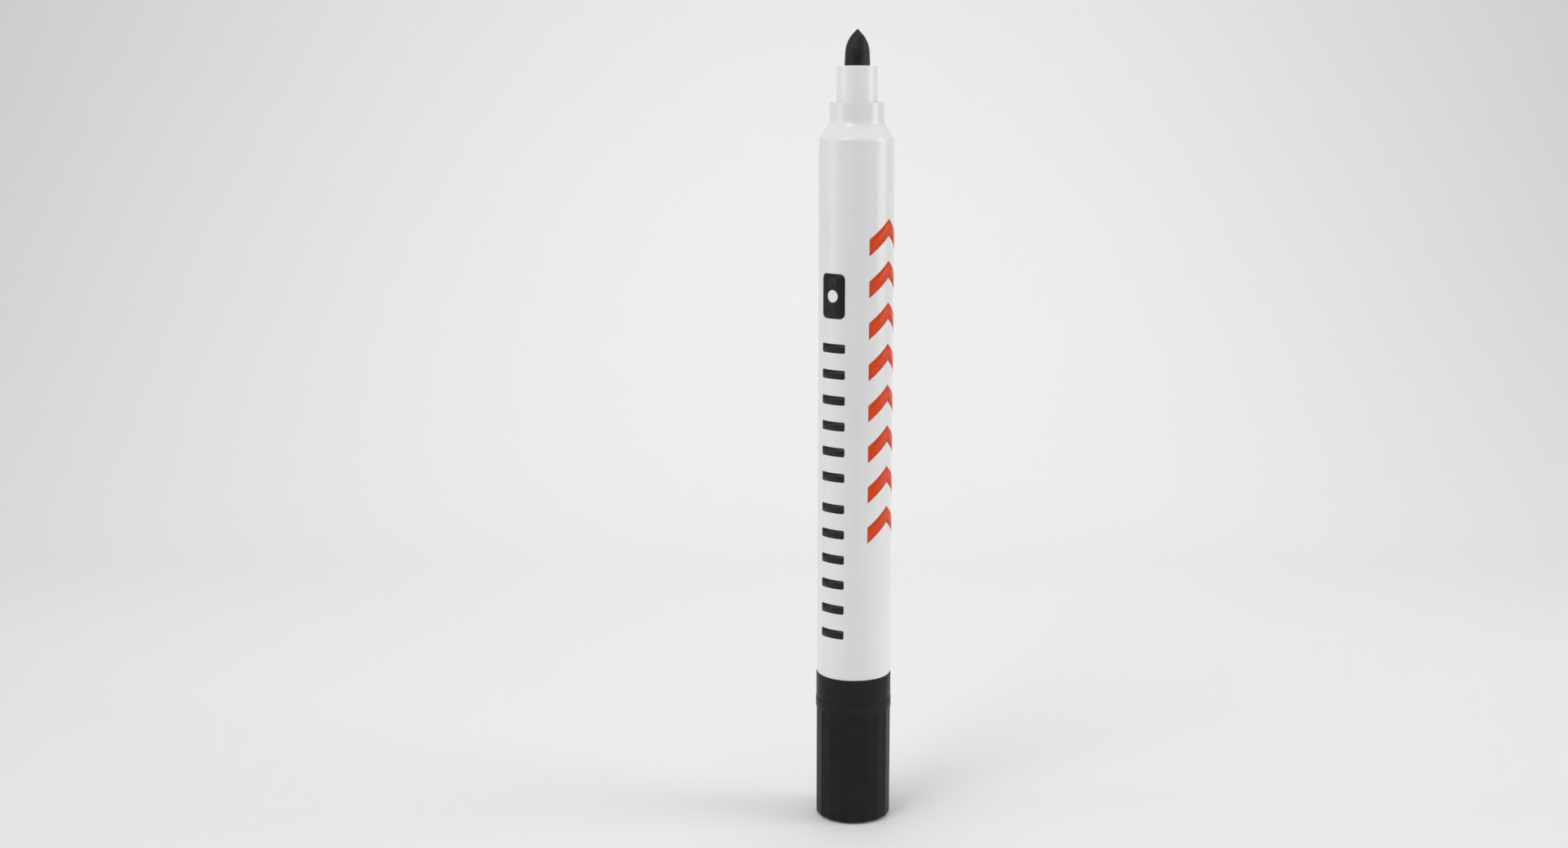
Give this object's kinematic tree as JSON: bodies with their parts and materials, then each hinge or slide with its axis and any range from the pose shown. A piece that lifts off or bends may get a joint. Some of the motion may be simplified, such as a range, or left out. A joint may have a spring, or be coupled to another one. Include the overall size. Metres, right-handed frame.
{
  "type": "felt tip marker",
  "caption": "Round felt tip whiteboard marker: bullet nib in a white sleeve, shouldered hollow barrel with a fibre ink reservoir, and a faceted cap pushed onto the tail plug.",
  "frame": {"origin": "centre of the cap's closed end, on the surface the marker stands on; bottom centre of the whole", "axes": "+Z along the marker's axis, from the cap's closed end up to the writing tip; -Y faces the viewer"},
  "size_m": [0.0154, 0.0154, 0.1606],
  "materials": {
    "barrel_plastic": "satin white moulded polypropylene",
    "holder_plastic": "satin white moulded plastic",
    "nib_felt": "pressed acrylic felt, soaked with black ink",
    "plug_plastic": "satin black moulded plastic",
    "reservoir_fibre": "polyester fibre, soaked with black ink",
    "film_plastic": "thin translucent film",
    "cap_plastic": "satin black moulded polypropylene",
    "liner_plastic": "natural soft polyethylene",
    "print_orange": "flat printed ink",
    "print_black": "flat printed ink"
  },
  "bodies": {
    "cap": {"cap_shell": "cap_plastic", "cap_liner": "liner_plastic"},
    "marker": {"barrel": "barrel_plastic", "nib_holder": "holder_plastic", "nib": "nib_felt", "tail_plug": "plug_plastic", "ink_reservoir": "reservoir_fibre", "reservoir_film": "film_plastic"}
  },
  "joints": [
    {"name": "cap_pull", "type": "slide", "parent": "cap", "child": "marker", "axis": [0, 0, 1], "range_m": [0, 0.012]}
  ]
}
